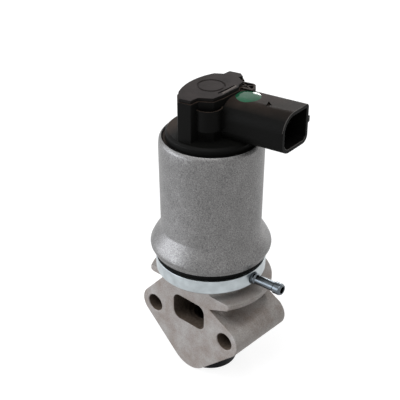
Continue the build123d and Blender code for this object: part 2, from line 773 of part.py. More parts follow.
# Armature: the moving iron, with a cone that dips into the pole piece
armature = turned((rod_r + press_gap, armature_bottom - pole_cone_depth + armature_cone_gap),
                  (rod_r + 1.7, armature_bottom - pole_cone_depth + armature_cone_gap),
                  (armature_r - 1.5, armature_bottom), (armature_r, armature_bottom),
                  (armature_r, armature_top - 1), (armature_r - 1, armature_top),
                  (rod_r + press_gap, armature_top))
armature.part.label = "armature"
export_step(armature.part, "parts/armature.step")

# Rod through the armature: it pushes the stem down and carries the sensor's slider
push_rod = turned((0, stem_top), (rod_r, stem_top), (rod_r, armature_top),
                  (rod_tip_r, armature_top + 1), (rod_tip_r, carrier_bottom - running_gap),
                  (0, carrier_bottom - running_gap))
push_rod.part.label = "push_rod"
export_step(push_rod.part, "parts/push_rod.step")

# Sensor housing: flange in the cover's mouth, body under the lid, screw boss and plug socket
with BuildPart() as sensor_housing:
    groove_z = housing_bottom + o_ring_above_flange
    groove_r = flange_radius + loose_gap - o_ring_section
    with BuildSketch(section):
        with BuildLine():
            Polyline((0, housing_bottom), (flange_radius, housing_bottom),
                     (flange_radius, groove_z - o_ring_section / 2),
                     (groove_r, groove_z - o_ring_section / 2),
                     (groove_r, groove_z + o_ring_section / 2),
                     (flange_radius, groove_z + o_ring_section / 2),
                     (flange_radius, flange_top - flange_chamfer),
                     (flange_radius - flange_chamfer, flange_top),
                     (disc_radius, flange_top), (disc_radius, disc_top - disc_chamfer),
                     (disc_radius - disc_chamfer, disc_top), (0, disc_top), close=True)
        make_face()
    revolve(axis=valve_axis)
    # Half-round boss beside the lid: a rim round a shallow recess, on a thinner pillar
    with BuildSketch(level(disc_top)):
        with Locations((boss_x, boss_y)):
            Circle(boss_pillar_r)
    extrude(amount=boss_top - disc_top)
    with BuildSketch(level(boss_top)):
        with Locations((boss_x, boss_y)):
            Circle(boss_radius)
    extrude(amount=-boss_height)
    with BuildSketch(level(boss_top)):
        with Locations((boss_x, boss_y)):
            Circle(boss_radius - boss_rim)
    extrude(amount=-boss_recess, mode=Mode.SUBTRACT)
    # Body under the lid
    with BuildSketch(level(disc_top)):
        add(top_outline(housing_overhang))
    extrude(amount=housing_height)
    # Plug socket, from inside the body to its mouth
    with BuildSketch(socket_plane(socket_start)):
        add(socket_outline(0))
    extrude(amount=socket_reach - socket_start)
    # Ribbed block on the far side of the neck
    web_plane = Plane(origin=(0, axis_y, socket_z), x_dir=socket_dir, z_dir=(0, 0, 1))
    with BuildSketch(web_plane):
        with BuildLine():
            Polyline(*web_outline, close=True)
        make_face()
    extrude(amount=housing_top - socket_z)
    # Hollow of the socket, its catch for the plug's latch, and its mouth cut back to the near side
    with BuildSketch(socket_plane(socket_reach)):
        add(socket_outline(socket_wall))
    extrude(amount=-socket_depth, mode=Mode.SUBTRACT)
    with BuildSketch(socket_plane(socket_reach - catch_back)):
        with Locations((socket_width / 2, catch_rise)):
            Rectangle(2 * catch_height, catch_width)
        Rectangle(socket_width - socket_wall, socket_height, mode=Mode.SUBTRACT)
    extrude(amount=-catch_length)
    far_edge = socket_plane(socket_reach).origin + across_dir * socket_width / 2
    with BuildSketch(Plane(origin=far_edge, x_dir=(0, 0, 1), z_dir=mouth_dir)):
        Rectangle(2 * socket_height, 3 * socket_width)
    extrude(amount=socket_width, mode=Mode.SUBTRACT)
    # Sensor chamber, open upwards under the lid, with two rails for the slider
    with BuildSketch(level(housing_top)):
        with Locations(((cavity_left + cavity_right) / 2, (cavity_back - cavity_half_width) / 2)):
            Rectangle(cavity_right - cavity_left, cavity_back + cavity_half_width)
    extrude(amount=cavity_floor - housing_top, mode=Mode.SUBTRACT)
    rail_inner = carrier_width / 2 + running_gap
    with BuildSketch(level(cavity_floor)):
        for side in (-1, 1):
            with Locations((cavity_right - rail_length / 2,
                            side * (rail_inner + rail_thickness / 2))):
                Rectangle(rail_length, rail_thickness)
    extrude(amount=carrier_top - cavity_floor + rail_above_carrier)
    # Bore for the upper bush, and room over the armature
    with Locations((0, axis_y, (housing_bottom + cavity_floor) / 2)):
        Cylinder(bush_outer_r + press_gap, cavity_floor - housing_bottom + 1, mode=Mode.SUBTRACT)
    with BuildSketch(level(housing_bottom)):
        Circle(armature_r + armature_room)
    extrude(amount=armature_headroom, mode=Mode.SUBTRACT)
    # Slots of the terminal blades
    with BuildSketch(socket_plane(pin_inner_end)):
        with GridLocations(pin_pitch, 1, pin_count, 1):
            Rectangle(pin_width + 2 * press_gap, pin_thickness + 2 * press_gap)
    extrude(amount=pin_root + 1, mode=Mode.SUBTRACT)
sensor_housing.part.label = "sensor_housing"
export_step(sensor_housing.part, "parts/sensor_housing.step")

# Terminal blades in the socket
with BuildPart() as terminal_pins:
    with BuildSketch(socket_plane(pin_inner_end)):
        with GridLocations(pin_pitch, 1, pin_count, 1):
            Rectangle(pin_width, pin_thickness)
    extrude(amount=pin_root + pin_length)
terminal_pins.part.label = "terminal_pins"
export_step(terminal_pins.part, "parts/terminal_pins.step")

# Rubber ring between the housing's flange and the slightly tapered cover
cover_taper = (cover_rim_r - cover_waist_r) / (cover_height - cover_waist_height)
seal_r = cover_rim_r - cover_wall - cover_taper * (cover_top - groove_z)
with BuildPart() as cover_o_ring:
    with BuildSketch(section):
        with Locations(((seal_r + groove_r) / 2, groove_z)):
            Circle((seal_r - groove_r) / 2 - press_gap)
    revolve(axis=valve_axis)
cover_o_ring.part.label = "cover_o_ring"
export_step(cover_o_ring.part, "parts/cover_o_ring.step")

# Bronze bush that guides the rod's thin end
upper_bush = washer(rod_tip_r + running_gap, bush_outer_r, bush_bottom, cavity_floor)
upper_bush.part.label = "upper_bush"
export_step(upper_bush.part, "parts/upper_bush.step")

# Lid: flat plate with a plain ring and a latch bar on top and a plinth inside the body
with BuildPart() as sensor_lid:
    with BuildSketch(level(housing_top)):
        add(top_outline(0))
    extrude(amount=lid_thickness)
    with BuildSketch(level(lid_top)):
        with Locations((lid_ring_x, lid_ring_y)):
            Circle(lid_ring_r)
            Circle(lid_ring_r - lid_ring_width, mode=Mode.SUBTRACT)
    extrude(amount=-lid_ring_depth, mode=Mode.SUBTRACT)
    with BuildSketch(level(lid_top)):
        with Locations((lid_latch_x, lid_latch_y)):
            Rectangle(lid_groove, lid_latch_length)
    extrude(amount=-lid_groove_depth, mode=Mode.SUBTRACT)
    with BuildSketch(level(housing_top)):
        with Locations(((cavity_left + cavity_right) / 2, (cavity_back - cavity_half_width) / 2)):
            Rectangle(cavity_right - cavity_left - 2 * loose_gap,
                      cavity_back + cavity_half_width - 2 * loose_gap)
    extrude(amount=-lid_plinth)
sensor_lid.part.label = "sensor_lid"
export_step(sensor_lid.part, "parts/sensor_lid.step")

# Resistor board on the chamber's left wall
with BuildPart() as resistor_board:
    with BuildSketch(level(cavity_floor + board_above_floor)):
        with Locations((board_left + board_thickness / 2, 0)):
            Rectangle(board_thickness, board_width)
    extrude(amount=board_height)
resistor_board.part.label = "resistor_board"
export_step(resistor_board.part, "parts/resistor_board.step")

# Slider between the rails, resting on the rod
with BuildPart() as wiper_carrier:
    with BuildSketch(level(carrier_bottom)):
        Rectangle(carrier_length, carrier_width)
    extrude(amount=carrier_height)
wiper_carrier.part.label = "wiper_carrier"
export_step(wiper_carrier.part, "parts/wiper_carrier.step")

# Two spring fingers on one strip, bent across to the board
finger_bottom = carrier_bottom + finger_foot
finger_end = finger_bottom + finger_rise
with BuildPart() as wiper_fingers:
    with BuildSketch(level(finger_bottom)):
        with Locations((strip_right - finger_thickness / 2, 0)):
            Rectangle(finger_thickness, finger_base_width)
    extrude(amount=finger_base_height)
    for side in (-1, 1):
        with BuildSketch(section.offset(side * finger_pitch / 2)):
            with BuildLine():
                Polyline((strip_right - finger_thickness / 2, finger_bottom),
                         (strip_right - finger_thickness / 2, finger_bottom + finger_root),
                         (finger_tip + finger_flat, finger_end), (finger_tip, finger_end),
                         (finger_tip, finger_end - finger_flat), close=True)
            make_face()
        extrude(amount=finger_width / 2, both=True)
wiper_fingers.part.label = "wiper_fingers"
export_step(wiper_fingers.part, "parts/wiper_fingers.step")

# Light spring that keeps the slider down on the rod
wiper_spring = coil_spring(sensor_spring_r, sensor_spring_wire_d, carrier_top, lid_plinth_bottom,
                           sensor_spring_turns)
wiper_spring.part.label = "wiper_spring"
export_step(wiper_spring.part, "parts/wiper_spring.step")
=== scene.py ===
# %% [markdown]
# # An exhaust gas recirculation valve
# This lesson dresses a finished mechanical model: a cast aluminium block with two bolt holes,
# a blasted aluminium can with a coil inside, and a black moulded sensor housing on top.
# The mechanical model comes in as a fixed frame. Nothing in it is moved or reshaped here.
# We give it finishes, softened edges, a camera and lamps, and the small things that only matter
# to the eye, such as a dab of paint.

# %% Load the frame
from math import atan2, cos, degrees, hypot, radians, sin

import bpy
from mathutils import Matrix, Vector
from mathutils.bvhtree import BVHTree


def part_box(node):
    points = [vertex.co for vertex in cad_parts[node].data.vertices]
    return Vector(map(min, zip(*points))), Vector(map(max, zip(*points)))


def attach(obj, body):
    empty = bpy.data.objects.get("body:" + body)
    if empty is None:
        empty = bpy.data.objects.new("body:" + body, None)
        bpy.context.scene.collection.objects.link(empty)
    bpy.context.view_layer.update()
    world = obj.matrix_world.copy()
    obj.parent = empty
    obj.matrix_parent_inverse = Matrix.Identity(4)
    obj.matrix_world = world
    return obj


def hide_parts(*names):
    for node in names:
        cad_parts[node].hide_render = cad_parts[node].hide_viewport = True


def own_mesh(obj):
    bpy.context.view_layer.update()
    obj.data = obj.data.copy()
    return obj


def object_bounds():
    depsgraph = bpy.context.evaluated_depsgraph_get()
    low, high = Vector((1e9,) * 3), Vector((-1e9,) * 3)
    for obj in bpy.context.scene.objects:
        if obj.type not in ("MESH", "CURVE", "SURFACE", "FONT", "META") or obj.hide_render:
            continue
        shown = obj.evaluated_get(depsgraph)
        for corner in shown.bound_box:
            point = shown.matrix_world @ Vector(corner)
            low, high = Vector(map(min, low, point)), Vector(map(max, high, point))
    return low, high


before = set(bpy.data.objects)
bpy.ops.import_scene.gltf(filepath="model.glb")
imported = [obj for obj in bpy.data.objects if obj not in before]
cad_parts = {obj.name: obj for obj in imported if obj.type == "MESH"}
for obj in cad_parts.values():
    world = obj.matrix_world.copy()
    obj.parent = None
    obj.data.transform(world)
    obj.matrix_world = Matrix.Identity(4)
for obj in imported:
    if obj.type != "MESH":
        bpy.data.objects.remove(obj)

cad_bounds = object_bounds()
print("nodes:", len(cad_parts),
      "size in mm:", [round(v * 1000, 1) for v in cad_bounds[1] - cad_bounds[0]])

# %% [markdown]
# ## Helpers
# Sizes are easier to read in millimetres, so one name turns them into metres. Colours are easier
# to read as the sRGB hex values of a paint chart, and one function turns those to the linear
# values that a shader wants.

# %% Units and colours
mm = 0.001


def colour(code):
    """An sRGB hex code such as "#a39c96" as linear red, green, blue and an alpha of one."""
    channels = [int(code[i:i + 2], 16) / 255 for i in (1, 3, 5)]
    linear = [c / 12.92 if c <= 0.04045 else ((c + 0.055) / 1.055) ** 2.4 for c in channels]
    return (*linear, 1.0)


# %% [markdown]
# A shader is a small network. One function adds a node to it, with its settings and its links,
# so that each material below reads as a list of what it is made of.

# %% Node helper
def add_node(tree, kind, settings=None, links=None):
    """Adds a node. settings fills sockets or properties by name, links joins sockets to outputs."""
    node = tree.nodes.new(kind)
    for name, value in (settings or {}).items():
        if isinstance(name, int) or name in node.inputs:
            node.inputs[name].default_value = value
        else:
            setattr(node, name, value)
    for name, output in (links or {}).items():
        tree.links.new(output, node.inputs[name])
    return node


def new_material(name):
    """An empty material: its node tree and its object coordinates."""
    material = bpy.data.materials.new(name)
    material.use_nodes = True
    tree = material.node_tree
    tree.nodes.clear()
    place = add_node(tree, "ShaderNodeTexCoord").outputs["Object"]
    return material, tree, place


def finish_material(tree, settings, links):
    """The surface shader and the output, at the end of a material."""
    shader = add_node(tree, "ShaderNodeBsdfPrincipled", settings, links)
    add_node(tree, "ShaderNodeOutputMaterial", links={"Surface": shader.outputs["BSDF"]})


# %% [markdown]
# ## Camera
# The photograph was taken from the front right and above, with a long lens that keeps the can's
# sides nearly parallel. The place below was worked out from the two bolt holes and the rims of
# the can, whose real shapes are known.

# %% Camera
camera_place = Vector((268.5, -282.0, 302.3)) * mm
camera_look = Vector((-0.5828, 0.6300, -0.5133))
camera_lens = 90.0
camera_sensor = 36.0

camera_data = bpy.data.cameras.new("camera")
camera_data.lens = camera_lens
camera_data.sensor_width = camera_sensor
camera_data.clip_start = 0.01
camera = bpy.data.objects.new("camera", camera_data)
bpy.context.scene.collection.objects.link(camera)
camera.location = camera_place
camera.rotation_euler = camera_look.to_track_quat("-Z", "Y").to_euler()
bpy.context.scene.camera = camera
camera_azimuth = degrees(atan2(camera_place.x, -camera_place.y))
print("camera azimuth:", round(camera_azimuth, 1))

# %% [markdown]
# ## Studio
# A white table and a white surround, lit softly. The table and the world look white to the
# camera and in reflections, while only the lamps and a dim surround light the object, so its
# own colours come out as they are written.

# %% World and table
scene = bpy.context.scene
scene.view_settings.view_transform = "Standard"

surround_light = 0.2
world = bpy.data.worlds.new("surround")
scene.world = world
world.use_nodes = True
tree = world.node_tree
tree.nodes.clear()
rays = add_node(tree, "ShaderNodeLightPath")
direct = add_node(tree, "ShaderNodeMath", {"operation": "MAXIMUM"},
                  {0: rays.outputs["Is Camera Ray"], 1: rays.outputs["Is Transmission Ray"]})
seen = add_node(tree, "ShaderNodeMath", {"operation": "MAXIMUM"},
                {0: direct.outputs[0], 1: rays.outputs["Is Glossy Ray"]})
dim = add_node(tree, "ShaderNodeBackground",
               {"Color": colour("#f3f5f7"), "Strength": surround_light})
white = add_node(tree, "ShaderNodeBackground", {"Color": colour("#ffffff"), "Strength": 1.0})
mixed = add_node(tree, "ShaderNodeMixShader",
                 links={0: seen.outputs[0], 1: dim.outputs[0], 2: white.outputs[0]})
add_node(tree, "ShaderNodeOutputWorld", links={"Surface": mixed.outputs[0]})

# The table: most of its brightness is its own, so a shadow only greys it a little. Its own light
# grows with the distance from the object, so that it meets the surround without an edge.
table_size = 8.0
table_gap = 0.1 * mm
glow_near, glow_far = 0.2, 0.9
least_glow, most_glow = 0.88, 1.0

bpy.ops.mesh.primitive_plane_add(size=table_size, location=(0, 0, cad_bounds[0].z - table_gap))
table = bpy.context.object
table.name = "table"
table_top, tree, spot = new_material("white laminate")
rays = add_node(tree, "ShaderNodeLightPath")
seen = add_node(tree, "ShaderNodeMath", {"operation": "MAXIMUM"},
                {0: rays.outputs["Is Camera Ray"], 1: rays.outputs["Is Glossy Ray"]})
away = add_node(tree, "ShaderNodeVectorMath", {"operation": "LENGTH"}, {0: spot})
own_light = add_node(tree, "ShaderNodeMapRange",
                     {"From Min": glow_near, "From Max": glow_far,
                      "To Min": least_glow, "To Max": most_glow},
                     {"Value": away.outputs["Value"]})
glow_level = add_node(tree, "ShaderNodeMath", {"operation": "MULTIPLY"},
                      {0: seen.outputs[0], 1: own_light.outputs["Result"]})
glow = add_node(tree, "ShaderNodeEmission", {"Color": colour("#ffffff")},
                {"Strength": glow_level.outputs[0]})
laminate = add_node(tree, "ShaderNodeBsdfDiffuse", {"Color": colour("#989898")})
both = add_node(tree, "ShaderNodeAddShader", links={0: glow.outputs[0], 1: laminate.outputs[0]})
add_node(tree, "ShaderNodeOutputMaterial", links={"Surface": both.outputs[0]})
table.data.materials.append(table_top)

# %% [markdown]
# Soft boxes stand round the object, and a small one behind it gives the paint its glint. Each
# place is given in degrees round from the camera and degrees above the table, then the distance
# and the width and height of the lit cloth in metres.

# %% Soft boxes
object_centre = (cad_bounds[0] + cad_bounds[1]) / 2


def softbox(name, side, elevation, distance, width, height, watts, tint="#ffffff"):
    """An area lamp aimed at the object; side is in degrees round from the camera, left is minus."""
    turn = radians(camera_azimuth + side)
    rise = radians(elevation)
    back = Vector((sin(turn) * cos(rise), -cos(turn) * cos(rise), sin(rise)))
    lamp = bpy.data.lights.new(name, "AREA")
    lamp.shape = "RECTANGLE"
    lamp.size = width
    lamp.size_y = height
    lamp.energy = watts
    lamp.color = colour(tint)[:3]
    obj = bpy.data.objects.new(name, lamp)
    scene.collection.objects.link(obj)
    obj.location = object_centre + back * distance
    obj.rotation_euler = (-back).to_track_quat("-Z", "Y").to_euler()


softbox("left_box", -84, 8, 0.9, 0.9, 0.7, 8.5, "#f4f8ff")
softbox("glint_box", 168, 15, 1.0, 0.18, 0.2, 1.3)
softbox("right_back_box", 130, 10, 1.0, 0.4, 0.9, 2.0)
softbox("top_box", -30, 72, 0.9, 0.6, 0.6, 3.5)

# %% [markdown]
# ## Finishes
# Each finish starts from the real one. Metals keep the default index of refraction and get
# their colour from the base colour; plastics and rubber are dark with a soft gloss.

# %% [markdown]
# ### Sand-cast aluminium
# The block is poured in sand and shot-blasted, then its two faces are milled. The skin shows grains
# of about half a millimetre and a slow warm and cold mottle. The gas passages are dark with soot
# and with painted shade, so the colour turns dark inside them.

# %% Cast aluminium
grit = 0.6 * mm
mottle = 9 * mm

cast_metal, tree, place = new_material("sand_cast_aluminium")
grain = add_node(tree, "ShaderNodeTexNoise", {"Scale": 1 / grit, "Detail": 3.0, "Roughness": 0.6},
                 {"Vector": place})
slow = add_node(tree, "ShaderNodeTexNoise", {"Scale": 1 / mottle, "Detail": 5.0, "Roughness": 0.6},
                {"Vector": place})
warm = add_node(tree, "ShaderNodeValToRGB", links={"Fac": slow.outputs["Fac"]})
warm.color_ramp.elements[0].position = 0.3
warm.color_ramp.elements[0].color = colour("#948880")
warm.color_ramp.elements[1].position = 0.7
warm.color_ramp.elements[1].color = colour("#b4b0ad")
speck = add_node(tree, "ShaderNodeMapRange", {"From Min": 0.35, "From Max": 0.65, "To Min": 0.8,
                                              "To Max": 1.12}, {"Value": grain.outputs["Fac"]})
skin = add_node(tree, "ShaderNodeMix", {"data_type": "RGBA", "blend_type": "MULTIPLY", 0: 1.0},
                {6: warm.outputs["Color"], 7: speck.outputs["Result"]})
bumps = add_node(tree, "ShaderNodeBump", {"Strength": 0.35, "Distance": 0.12 * mm},
                 {"Height": grain.outputs["Fac"]})
finish_material(tree, {"Metallic": 0.35, "Roughness": 0.62},
                {"Base Color": skin.outputs[2], "Normal": bumps.outputs["Normal"]})

# %% [markdown]
# Hot gas leaves a dull brown film of soot on the walls of the ports and in the bolt holes. It is
# the same cast skin with a film over it, so it is a finish of its own. Its colour darkens from near
# the milled face to further in, partly thicker soot and partly painted shade of the deep passages,
# so the bolt holes come out darker. The depth is read from the object's own Y coordinate.

# %% Sooty and shaded passages
soot_and_shade_depth = 14 * mm
soot_grain = 1.4 * mm

sooty_shaded_cast, tree, place = new_material("sooty_and_shaded_cast_aluminium")
grain = add_node(tree, "ShaderNodeTexNoise", {"Scale": 1 / soot_grain, "Detail": 4.0},
                 {"Vector": place})
axes = add_node(tree, "ShaderNodeSeparateXYZ", links={0: place})
# Darker with depth: thicker soot and painted shade of the passage.
depth = add_node(tree, "ShaderNodeMapRange", {"From Max": soot_and_shade_depth},
                 {"Value": axes.outputs["Y"]})
film = add_node(tree, "ShaderNodeMix",
                {"data_type": "RGBA", 6: colour("#6c5f54"), 7: colour("#4a4138")},
                {0: depth.outputs["Result"]})
speck = add_node(tree, "ShaderNodeMapRange", {"From Min": 0.3, "From Max": 0.7, "To Min": 0.7,
                                              "To Max": 1.15}, {"Value": grain.outputs["Fac"]})
sooty = add_node(tree, "ShaderNodeMix", {"data_type": "RGBA", "blend_type": "MULTIPLY", 0: 1.0},
                 {6: film.outputs[2], 7: speck.outputs["Result"]})
bumps = add_node(tree, "ShaderNodeBump", {"Strength": 0.4, "Distance": 0.15 * mm},
                 {"Height": grain.outputs["Fac"]})
finish_material(tree, {"Roughness": 0.9, "Specular IOR Level": 0.2},
                {"Base Color": sooty.outputs[2], "Normal": bumps.outputs["Normal"]})

# %% [markdown]
# ### Blasted aluminium
# The can is drawn from sheet and bead-blasted. It is greyer and finer than the casting, and
# reflects the lamps as broad soft bands. Handling has left faint cloudy patches on it.

# %% Blasted can
blast = 0.55 * mm
can_cloud = 6 * mm

blasted_metal, tree, place = new_material("bead_blasted_aluminium")
grain = add_node(tree, "ShaderNodeTexNoise", {"Scale": 1 / blast, "Detail": 3.0, "Roughness": 0.7},
                 {"Vector": place})
speck = add_node(tree, "ShaderNodeValToRGB", links={"Fac": grain.outputs["Fac"]})
speck.color_ramp.elements[0].position = 0.32
speck.color_ramp.elements[0].color = colour("#585757")
speck.color_ramp.elements[1].position = 0.68
speck.color_ramp.elements[1].color = colour("#8f8e8d")
cloud = add_node(tree, "ShaderNodeTexNoise", {"Scale": 1 / can_cloud, "Detail": 4.0},
                 {"Vector": place})
handled = add_node(tree, "ShaderNodeMapRange", {"From Min": 0.3, "From Max": 0.7, "To Min": 0.91,
                                                "To Max": 1.09}, {"Value": cloud.outputs["Fac"]})
skin = add_node(tree, "ShaderNodeMix", {"data_type": "RGBA", "blend_type": "MULTIPLY", 0: 1.0},
                {6: speck.outputs["Color"], 7: handled.outputs["Result"]})
bumps = add_node(tree, "ShaderNodeBump", {"Strength": 0.3, "Distance": 0.06 * mm},
                 {"Height": grain.outputs["Fac"]})
finish_material(tree, {"Metallic": 0.75, "Roughness": 0.42},
                {"Base Color": skin.outputs[2], "Normal": bumps.outputs["Normal"]})

# %% [markdown]
# ### Zinc plate and bright steel
# The thick ring under the can is turned steel with a bright zinc coat, cold and pale. The hose
# nipple is turned from bar and left shiny. The inner pieces of iron, bronze and copper share the
# same recipe with other colours.

# %% Turned and plated metals
stain_size = 5 * mm


def turned_metal(name, code, roughness, groove):
    """A metal with fine marks, spaced by groove, and faint stains."""
    material, tree, place = new_material(name)
    lines = add_node(tree, "ShaderNodeTexNoise", {"Scale": 1 / groove, "Detail": 2.0},
                     {"Vector": place})
    shade = add_node(tree, "ShaderNodeMapRange",
                     {"To Min": roughness * 0.8, "To Max": roughness * 1.25},
                     {"Value": lines.outputs["Fac"]})
    bumps = add_node(tree, "ShaderNodeBump", {"Strength": 0.05, "Distance": 0.02 * mm},
                     {"Height": lines.outputs["Fac"]})
    stain = add_node(tree, "ShaderNodeTexNoise", {"Scale": 1 / stain_size, "Detail": 5.0},
                     {"Vector": place})
    level = add_node(tree, "ShaderNodeMapRange",
                     {"From Min": 0.3, "From Max": 0.7, "To Min": 0.8, "To Max": 1.1},
                     {"Value": stain.outputs["Fac"]})
    dulled = add_node(tree, "ShaderNodeMix",
                      {"data_type": "RGBA", "blend_type": "MULTIPLY", 0: 1.0, 6: colour(code)},
                      {7: level.outputs["Result"]})
    finish_material(tree, {"Metallic": 1.0},
                    {"Base Color": dulled.outputs[2], "Roughness": shade.outputs["Result"],
                     "Normal": bumps.outputs["Normal"]})
    return material


zinc_plate = turned_metal("bright_zinc_plate", "#b0b7ba", 0.33, 0.9 * mm)
bright_steel = turned_metal("turned_bright_steel", "#5f656a", 0.22, 0.5 * mm)
plain_steel = turned_metal("ground_steel", "#8f9092", 0.35, 0.4 * mm)
sooty_steel = turned_metal("sooty_valve_steel", "#4a4440", 0.6, 0.8 * mm)
spring_steel = turned_metal("oiled_spring_steel", "#6b6c70", 0.3, 0.4 * mm)
soft_iron = turned_metal("soft_iron", "#77777a", 0.42, 0.7 * mm)
bronze = turned_metal("sintered_bronze", "#b08d57", 0.4, 0.5 * mm)
# Tin plate painted dark for the terminal pins: painted shade of the pins deep inside the socket.
shaded_tin = turned_metal("tin_plate_painted_dark", "#2e2c2a", 0.55, 0.5 * mm)
copper_wire = turned_metal("enamelled_copper", "#a8532e", 0.3, 0.5 * mm)

# %% [markdown]
# ### Black plastics and rubber
# The sensor housing is glass-filled nylon: near black, a soft gloss, and a fine moulded grain.
# The lid is the same resin in a duller, browner batch. What faces up is painted lighter and browner
# in a thin film with cloudy patches, a painted sheen of the top light. It is painted on the top and
# in the corner behind the housing, and fades off the end of the socket and the front of the disc.
# The seals are plain black rubber.

# %% Plastics and rubber
# The painted top sheen: where it starts, where it fades and where it stays.
sheen_cloud = 7 * mm
sheen_slope = 0.65                        # upward part of the normal where the painted sheen starts
sheen_fade_from, sheen_fade_to = 14 * mm, 36 * mm  # along X, towards the end of the socket
sheen_fade_share = 0.4
corner_from, corner_to = -8 * mm, -14 * mm   # along X, behind the housing
shelf_from, shelf_to = 114 * mm, 115 * mm    # heights of the tops that keep their painted sheen


def moulded(name, code, roughness, grain_size, depth, gloss=0.5, top_sheen=None):
    """A moulded plastic or rubber with a fine grain; top_sheen is the painted colour of its lit
    tops.
    """
    material, tree, place = new_material(name)
    grain = add_node(tree, "ShaderNodeTexNoise", {"Scale": 1 / grain_size, "Detail": 3.0},
                     {"Vector": place})
    bumps = add_node(tree, "ShaderNodeBump", {"Strength": depth, "Distance": 0.08 * mm},
                     {"Height": grain.outputs["Fac"]})
    shade = add_node(tree, "ShaderNodeMapRange",
                     {"To Min": roughness * 0.85, "To Max": roughness * 1.15},
                     {"Value": grain.outputs["Fac"]})
    links = {"Roughness": shade.outputs["Result"], "Normal": bumps.outputs["Normal"]}
    if top_sheen:
        # Painted sheen of the top light: faces that point up turn towards the top_sheen colour.
        facing = add_node(tree, "ShaderNodeNewGeometry")
        lean = add_node(tree, "ShaderNodeSeparateXYZ", links={0: facing.outputs["Normal"]})
        level = add_node(tree, "ShaderNodeMapRange", {"From Min": sheen_slope, "From Max": 1.0},
                         {"Value": lean.outputs["Z"]})
        axes = add_node(tree, "ShaderNodeSeparateXYZ", links={0: place})
        sheen_fade = add_node(tree, "ShaderNodeMapRange",
                         {"From Min": sheen_fade_from, "From Max": sheen_fade_to,
                          "To Min": 1.0, "To Max": sheen_fade_share}, {"Value": axes.outputs["X"]})
        behind = add_node(tree, "ShaderNodeMapRange",
                          {"From Min": corner_from, "From Max": corner_to},
                          {"Value": axes.outputs["X"]})
        high = add_node(tree, "ShaderNodeMapRange", {"From Min": shelf_from, "From Max": shelf_to},
                        {"Value": axes.outputs["Z"]})
        kept = add_node(tree, "ShaderNodeMath", {"operation": "MAXIMUM"},
                        {0: behind.outputs["Result"], 1: high.outputs["Result"]})
        cloud = add_node(tree, "ShaderNodeTexNoise", {"Scale": 1 / sheen_cloud, "Detail": 3.0},
                         {"Vector": place})
        patch = add_node(tree, "ShaderNodeMapRange",
                         {"From Min": 0.3, "From Max": 0.65, "To Min": 0.5},
                         {"Value": cloud.outputs["Fac"]})
        sheen_amount = patch.outputs["Result"]
        for cause in (level, sheen_fade, kept):
            sheen_amount = add_node(tree, "ShaderNodeMath", {"operation": "MULTIPLY"},
                             {0: sheen_amount, 1: cause.outputs[0]}).outputs[0]
        film = add_node(tree, "ShaderNodeMix",
                        {"data_type": "RGBA", 6: colour(code), 7: colour(top_sheen)}, {0: sheen_amount})
        links["Base Color"] = film.outputs[2]
    finish_material(tree, {"Base Color": colour(code), "Specular IOR Level": gloss}, links)
    return material


# A paler nylon, used only to paint a highlight along the upper rim of the mouth.
rim_highlight_nylon = moulded("nylon_painted_rim_highlight", "#4a4643", 0.45, 0.6 * mm, 0.1, 0.3)
# The last colour of the housing and of the lid is their painted top sheen.
black_nylon = moulded("black_glass_filled_nylon", "#0d0d0c", 0.5, 0.7 * mm, 0.25, 0.06,
                      "#3f352f")
lid_nylon = moulded("grey_black_nylon", "#151312", 0.6, 0.5 * mm, 0.5, 0.08, "#373130")
black_rubber = moulded("black_rubber", "#0e0e0e", 0.7, 0.8 * mm, 0.2, 0.08)
black_cap = moulded("black_plastic_cap", "#1c1c20", 0.45, 0.6 * mm, 0.15, 0.1)
pale_nylon = moulded("natural_nylon", "#c9c0a6", 0.5, 0.8 * mm, 0.1)
board_resin = moulded("green_circuit_board", "#1e4a2c", 0.45, 0.6 * mm, 0.1)

# %% [markdown]
# ## Dress the frame
# Every node of the frame gets one of these finishes by assigning to its material slots.

# %% Finishes on the frame's nodes
finishes = {
    "valve_body": cast_metal, "bottom_plug": black_cap, "solenoid_cover": blasted_metal,
    "base_plate": zinc_plate, "vent_nipple": bright_steel, "isolator_gasket": black_rubber,
    "sensor_housing": black_nylon, "sensor_lid": lid_nylon,
    "seat_insert": sooty_steel, "valve_head": sooty_steel, "valve_stem": sooty_steel,
    "guide_shield": sooty_steel, "stem_guide": bronze, "return_spring": spring_steel,
    "spring_retainer": plain_steel, "body_gasket": black_rubber, "base_screws": plain_steel,
    "yoke_cup": soft_iron, "pole_piece": soft_iron, "flux_washer": soft_iron,
    "armature": soft_iron, "armature_sleeve": bronze, "coil_bobbin": pale_nylon,
    "coil_winding": copper_wire, "push_rod": bright_steel, "terminal_pins": shaded_tin,
    "cover_o_ring": black_rubber, "upper_bush": bronze, "resistor_board": board_resin,
    "wiper_carrier": pale_nylon, "wiper_fingers": bronze, "wiper_spring": spring_steel,
}
for node, finish in finishes.items():
    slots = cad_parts[node].data.materials
    slots.clear()
    slots.append(finish)
print("finished nodes:", len(finishes), "of", len(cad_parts))

# %% [markdown]
# ## Soften the edges
# No cast, turned or moulded edge is perfectly sharp: each one holds a thin line of light. The
# nodes of the frame have sharp edges and loose triangles, so each visible one is copied, its
# triangles are merged, and a small bevel rounds what is still sharp. The copy then stands for
# the node. The bevel's width is the real one's edge radius. Points that a bevel throws clear of
# the node are pulled back onto it, and none may leave the node's own box.

# %% A softened copy of a node
merge_distance = 0.002 * mm
flat_angle = radians(0.6)
stray_share = 0.6            # of the bevel's width; farther off than this, a point is a stray


def only(obj):
    """Makes obj the one selected and active object."""
    bpy.ops.object.select_all(action="DESELECT")
    obj.select_set(True)
    bpy.context.view_layer.objects.active = obj


